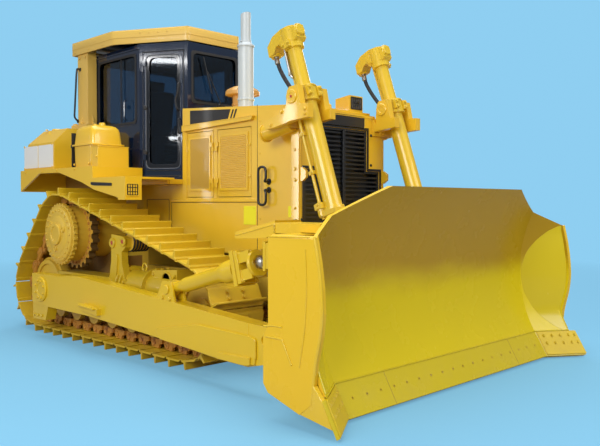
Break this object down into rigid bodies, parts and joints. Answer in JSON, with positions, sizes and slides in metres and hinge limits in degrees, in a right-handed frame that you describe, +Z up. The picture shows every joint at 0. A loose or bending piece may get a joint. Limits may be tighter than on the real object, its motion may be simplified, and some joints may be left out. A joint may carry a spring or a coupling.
{
  "type": "bulldozer",
  "caption": "Crawler bulldozer with elevated drive sprockets, closed cab under a roof on two posts, and a semi-U blade on push arms.",
  "frame": {"origin": "on the ground under the middle of the overall length and width, tracks flat on the ground", "axes": "+X forward towards the blade, +Y to the machine's left, +Z up"},
  "size_m": [5.662, 3.47, 3.307],
  "materials": {
    "body_paint": "orange-yellow gloss enamel",
    "roof_paint": "tan-yellow enamel",
    "blade_paint": "yellow enamel, greener than the body",
    "cylinder_paint": "yellow enamel",
    "rod_chrome": "polished",
    "hose_rubber": "matt black",
    "track_paint": "yellow over steel, rusty at the links",
    "running_gear": "yellow enamel on castings",
    "cab_paint": "black gloss enamel",
    "cab_glass": "tinted",
    "cab_trim": "black",
    "grille_black": "satin black",
    "engine_paint": "plain block",
    "exhaust_silver": "silver heat paint"
  },
  "bodies": {
    "tractor": {"track_right": "track_paint", "track_frame_right": "running_gear", "idlers_right": "running_gear", "track_rollers_right": "running_gear", "sprocket_right": "running_gear", "final_drive_right": "running_gear", "track_left": "track_paint", "track_frame_left": "running_gear", "idlers_left": "running_gear", "track_rollers_left": "running_gear", "sprocket_left": "running_gear", "final_drive_left": "running_gear", "main_frame": "body_paint", "equalizer_bar": "body_paint", "belly_guard": "body_paint", "drawbar": "body_paint", "engine_block": "engine_paint", "hood": "body_paint", "exhaust_stack": "exhaust_silver", "air_precleaner": "body_paint", "side_skirts": "body_paint", "radiator_guard": "body_paint", "radiator_grille": "grille_black", "radiator_core": "grille_black", "lamp_boxes": "body_paint", "platform": "body_paint", "fender_right": "body_paint", "fender_left": "body_paint", "hydraulic_tank": "body_paint", "battery_box": "body_paint", "fuel_tank": "body_paint", "cab_shell": "cab_paint", "cab_glass": "cab_glass", "operator_seat": "cab_trim", "dash_console": "cab_trim", "rops_frame": "roof_paint", "rops_roof": "roof_paint", "cylinder_yoke_right": "body_paint", "cylinder_yoke_left": "body_paint"},
    "blade_assembly": {"blade": "blade_paint", "cutting_edge": "blade_paint", "push_arm_right": "blade_paint", "push_arm_left": "blade_paint", "tilt_brace": "blade_paint", "tilt_cylinder": "blade_paint"},
    "lift_barrel_right": {"lift_barrel_right": "cylinder_paint", "lift_hose_right": "hose_rubber"},
    "lift_rod_right": {"lift_rod_right": "rod_chrome"},
    "lift_barrel_left": {"lift_barrel_left": "cylinder_paint", "lift_hose_left": "hose_rubber"},
    "lift_rod_left": {"lift_rod_left": "rod_chrome"},
    "cab_door_right": {"cab_door_right": "cab_paint", "cab_door_glass_right": "cab_glass"},
    "cab_door_left": {"cab_door_left": "cab_paint", "cab_door_glass_left": "cab_glass"},
    "engine_door_rear_right": {"engine_door_rear_right": "body_paint"},
    "engine_door_front_right": {"engine_door_front_right": "body_paint"},
    "engine_door_rear_left": {"engine_door_rear_left": "body_paint"},
    "engine_door_front_left": {"engine_door_front_left": "body_paint"}
  },
  "joints": [
    {"name": "blade_lift", "type": "hinge", "parent": "tractor", "child": "blade_assembly", "pos_m": [-1.68298, 0, 0.53], "axis": [0, -1, 0], "range_deg": [-6.5, 13]},
    {"name": "lift_cylinder_swing_right", "type": "hinge", "parent": "tractor", "child": "lift_barrel_right", "pos_m": [1.43502, -0.59, 2.318], "axis": [0, -1, 0], "range_deg": [-4.47, 8.89]},
    {"name": "lift_rod_slide_right", "type": "slide", "parent": "lift_barrel_right", "child": "lift_rod_right", "axis": [0.3178, 0, -0.9482], "range_m": [-0.805, 0.403]},
    {"name": "lift_cylinder_swing_left", "type": "hinge", "parent": "tractor", "child": "lift_barrel_left", "pos_m": [1.43502, 0.59, 2.318], "axis": [0, -1, 0], "range_deg": [-4.47, 8.89]},
    {"name": "lift_rod_slide_left", "type": "slide", "parent": "lift_barrel_left", "child": "lift_rod_left", "axis": [0.3178, 0, -0.9482], "range_m": [-0.805, 0.403]},
    {"name": "cab_door_hinge_right", "type": "hinge", "parent": "tractor", "child": "cab_door_right", "pos_m": [-0.97969, -0.62697, 2.4], "axis": [0, 0, -1], "range_deg": [0, 95]},
    {"name": "cab_door_hinge_left", "type": "hinge", "parent": "tractor", "child": "cab_door_left", "pos_m": [-0.97969, 0.62697, 2.4], "axis": [0, 0, 1], "range_deg": [0, 95]},
    {"name": "engine_door_front_hinge_right", "type": "hinge", "parent": "tractor", "child": "engine_door_front_right", "pos_m": [0.11139, -0.493, 1.85], "axis": [0, 0, -1], "range_deg": [0, 85]},
    {"name": "engine_door_rear_hinge_right", "type": "hinge", "parent": "tractor", "child": "engine_door_rear_right", "pos_m": [0.03939, -0.493, 1.85], "axis": [0, 0, 1], "range_deg": [0, 85]},
    {"name": "engine_door_front_hinge_left", "type": "hinge", "parent": "tractor", "child": "engine_door_front_left", "pos_m": [0.11139, 0.493, 1.85], "axis": [0, 0, 1], "range_deg": [0, 85]},
    {"name": "engine_door_rear_hinge_left", "type": "hinge", "parent": "tractor", "child": "engine_door_rear_left", "pos_m": [0.03939, 0.493, 1.85], "axis": [0, 0, -1], "range_deg": [0, 85]}
  ],
  "couplings": [
    {"joint": "lift_cylinder_swing_right", "follows": "blade_lift", "ratio": 0.67966},
    {"joint": "lift_rod_slide_right", "follows": "blade_lift", "m_per_rad": -3.5403},
    {"joint": "lift_cylinder_swing_left", "follows": "blade_lift", "ratio": 0.67966},
    {"joint": "lift_rod_slide_left", "follows": "blade_lift", "m_per_rad": -3.5403}
  ]
}
